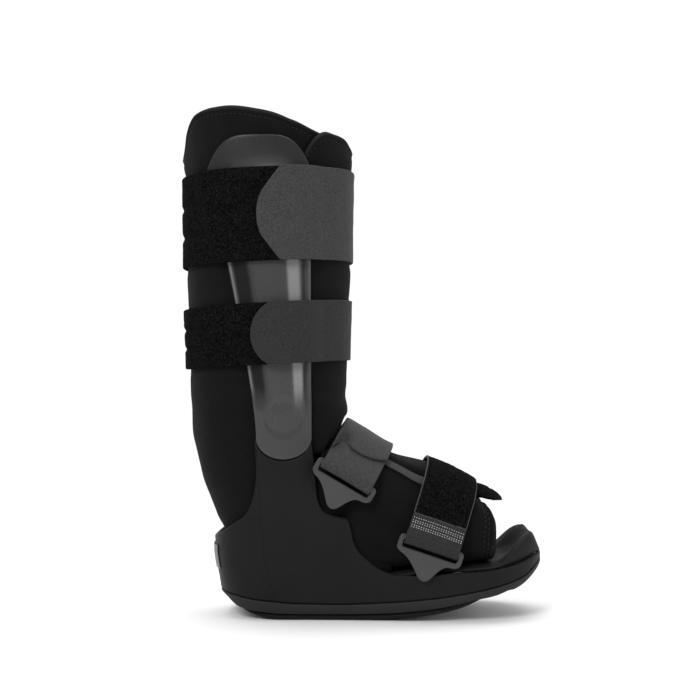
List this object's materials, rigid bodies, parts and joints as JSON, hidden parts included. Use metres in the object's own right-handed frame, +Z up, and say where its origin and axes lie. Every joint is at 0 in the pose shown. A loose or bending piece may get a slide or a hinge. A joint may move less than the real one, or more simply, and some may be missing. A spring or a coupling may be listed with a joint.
{
  "type": "medical walking boot",
  "caption": "Tall medical walking boot: rigid rocker-soled shell and side uprights around a padded calf and foot sleeve, closed by hook-and-loop straps.",
  "frame": {"origin": "on the floor, under the middle of the boot's length and width", "axes": "+X towards the toes, -Y towards the outer side of the leg, +Z up"},
  "size_m": [0.3028, 0.1361, 0.43],
  "materials": {
    "sole": "moulded, matte",
    "tread": "matte rubber",
    "shell": "moulded, fine grain",
    "footbed": "smooth foam rubber",
    "strut": "glossy, lightly brushed",
    "liner": "knitted fabric over foam",
    "fuzzy_strap": "brushed loop pile",
    "tab": "woven webbing",
    "loop": "satin moulded plastic",
    "label": "smooth bare panel"
  },
  "bodies": {
    "root": {"outsole": "sole", "tread": "tread", "shell_base": "shell", "footbed": "footbed", "strut_lateral": "strut", "strut_medial": "strut", "leg_liner": "liner", "foot_liner": "liner", "tongue": "liner", "flap_strip": "tab", "upper_strap_loop": "fuzzy_strap", "upper_strap_tab": "tab", "lower_strap_loop": "fuzzy_strap", "lower_strap_tab": "tab", "instep_strap": "tab", "forefoot_strap": "fuzzy_strap", "instep_loop_lateral": "loop", "instep_loop_medial": "loop", "forefoot_loop_lateral": "loop", "forefoot_loop_medial": "loop", "heel_label": "label"}
  },
  "joints": []
}
